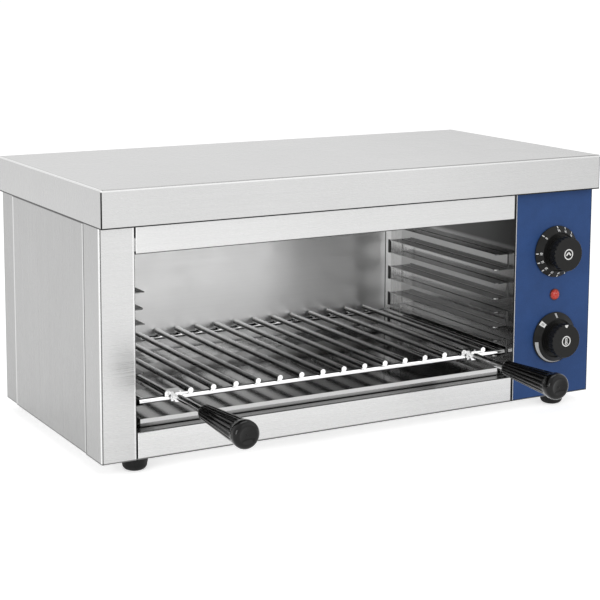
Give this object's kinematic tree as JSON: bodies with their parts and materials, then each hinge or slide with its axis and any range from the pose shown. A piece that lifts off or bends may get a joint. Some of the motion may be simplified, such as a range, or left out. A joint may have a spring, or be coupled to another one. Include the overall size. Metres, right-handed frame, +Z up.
{
  "type": "cheese melter",
  "caption": "Counter-top cheese melter: box body with overhanging lid, wire rack with black-gripped handles in U-shaped guides, crumb tray, and a control panel with knobs and a lamp.",
  "frame": {"origin": "on the counter, under the centre of the machine's outer box with its handles and cord entry", "axes": "+X to the machine's right as seen by its user, -Y out of the front, +Z up"},
  "size_m": [0.61, 0.4556, 0.29],
  "materials": {
    "stainless": "brushed stainless sheet",
    "chrome": "bright nickel-chrome plating",
    "blue_overlay": "satin blue enamel",
    "grip_black": "glossy moulded phenolic",
    "knob_black": "satin moulded phenolic with white print",
    "inner_black": "moulded plastic",
    "foot_rubber": "black rubber",
    "lamp_red": "faceted translucent lens",
    "ceramic": "stands for steatite ceramic",
    "element_sheath": "heat-darkened tube",
    "copper": "drawn copper capillary"
  },
  "bodies": {
    "chassis": {"lid": "stainless", "front_post": "stainless", "fascia": "stainless", "bottom_rail": "stainless", "control_plate": "stainless", "control_overlay": "blue_overlay", "side_panel_left": "stainless", "side_panel_right": "stainless", "rear_cover": "stainless", "base_plate": "stainless", "liner_left": "stainless", "liner_right": "stainless", "chamber_back": "stainless", "reflector": "stainless", "guide_left_1": "stainless", "guide_left_2": "stainless", "guide_left_3": "stainless", "guide_left_4": "stainless", "guide_right_1": "stainless", "guide_right_2": "stainless", "guide_right_3": "stainless", "guide_right_4": "stainless", "guide_post_left": "stainless", "guide_post_right": "stainless", "element_front": "element_sheath", "element_rear": "element_sheath", "element_clips": "stainless", "element_bushes": "ceramic", "element_pins": "chrome", "tray_runner_left": "stainless", "tray_runner_right": "stainless", "timer_body": "inner_black", "thermostat_body": "inner_black", "thermostat_bulb": "copper", "lamp_lens": "lamp_red", "lamp_body": "inner_black", "terminal_block": "ceramic", "cable_gland": "inner_black", "foot_front_left": "foot_rubber", "foot_front_right": "foot_rubber", "foot_rear_left": "foot_rubber", "foot_rear_right": "foot_rubber", "foot_screws": "chrome", "rear_screws": "chrome", "lid_screws": "chrome"},
    "rack": {"wire_rack": "chrome", "handle_bracket_left": "chrome", "handle_bracket_right": "chrome", "handle_stem_left": "chrome", "handle_stem_right": "chrome", "handle_nut_left": "chrome", "handle_nut_right": "chrome", "handle_grip_left": "grip_black", "handle_grip_right": "grip_black"},
    "tray": {"crumb_tray": "stainless"},
    "timer": {"timer_shaft": "chrome", "timer_knob": "knob_black"},
    "thermostat": {"thermostat_shaft": "chrome", "thermostat_knob": "knob_black"}
  },
  "joints": [
    {"name": "rack_slide", "type": "slide", "parent": "chassis", "child": "rack", "axis": [0, -1, 0], "range_m": [0, 0.22]},
    {"name": "tray_slide", "type": "slide", "parent": "chassis", "child": "tray", "axis": [0, -1, 0], "range_m": [0, 0.2]},
    {"name": "timer_turn", "type": "hinge", "parent": "chassis", "child": "timer", "pos_m": [0.252, -0.07975, 0.1815], "axis": [0, 1, 0], "range_deg": [0, 300]},
    {"name": "thermostat_turn", "type": "hinge", "parent": "chassis", "child": "thermostat", "pos_m": [0.252, -0.07975, 0.0815], "axis": [0, 1, 0], "range_deg": [0, 270]}
  ]
}
